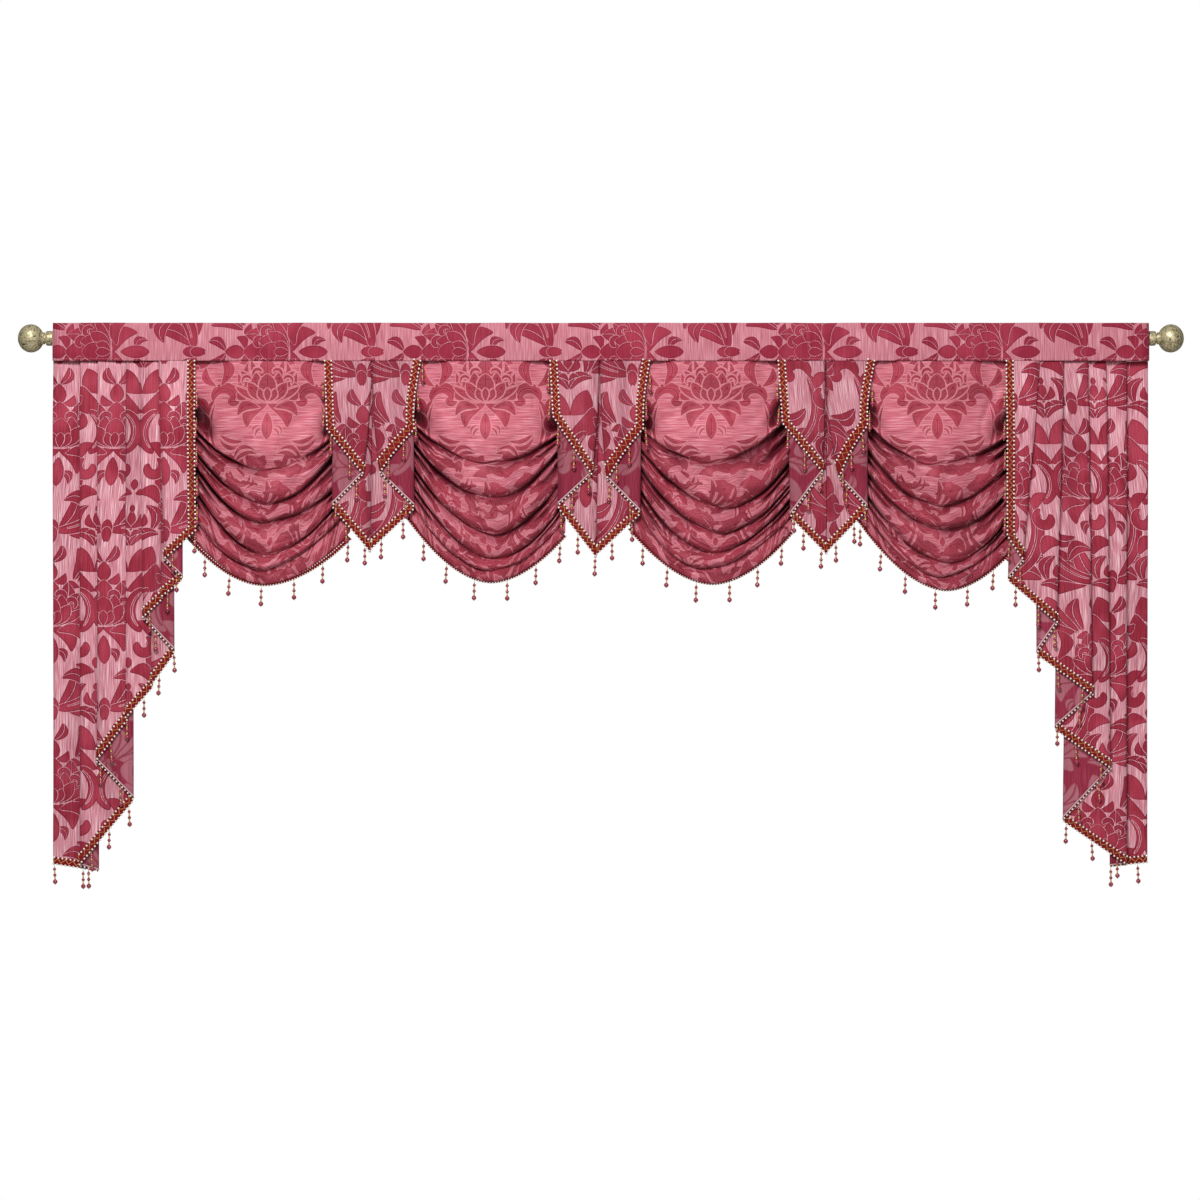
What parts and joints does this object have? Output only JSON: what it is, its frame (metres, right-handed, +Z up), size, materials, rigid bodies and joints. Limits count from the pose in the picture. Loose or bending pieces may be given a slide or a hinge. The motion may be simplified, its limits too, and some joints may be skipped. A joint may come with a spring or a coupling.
{
  "type": "swag and tail drape on curtain rod",
  "caption": "Window drape of draped swags, folded jabots and long stepped tails sewn under a rod pocket, edged with beaded braid, hanging on a rod with ball finials.",
  "frame": {"origin": "on the rod's axis, halfway along it, where the wall brackets hold it level", "axes": "+X along the rod to the right as seen from the room, +Y towards the wall, +Z up"},
  "size_m": [2.6646, 0.0947, 1.2944],
  "materials": {
    "damask": "woven pink ground with crimson figures, slight sheen",
    "beaded_braid": "deep red braid with gold zigzag and ivory edge, crimson and gold beads",
    "champagne_metal": "mottled antique champagne"
  },
  "bodies": {
    "root": {"rod": "champagne_metal", "finial_left": "champagne_metal", "finial_right": "champagne_metal", "heading": "damask", "swag_1": "damask", "swag_1_fringe": "beaded_braid", "swag_2": "damask", "swag_2_fringe": "beaded_braid", "swag_3": "damask", "swag_3_fringe": "beaded_braid", "swag_4": "damask", "swag_4_fringe": "beaded_braid", "jabot_1": "damask", "jabot_1_fringe": "beaded_braid", "jabot_2": "damask", "jabot_2_fringe": "beaded_braid", "jabot_3": "damask", "jabot_3_fringe": "beaded_braid", "tail_left": "damask", "tail_left_fringe": "beaded_braid", "tail_right": "damask", "tail_right_fringe": "beaded_braid"}
  },
  "joints": []
}
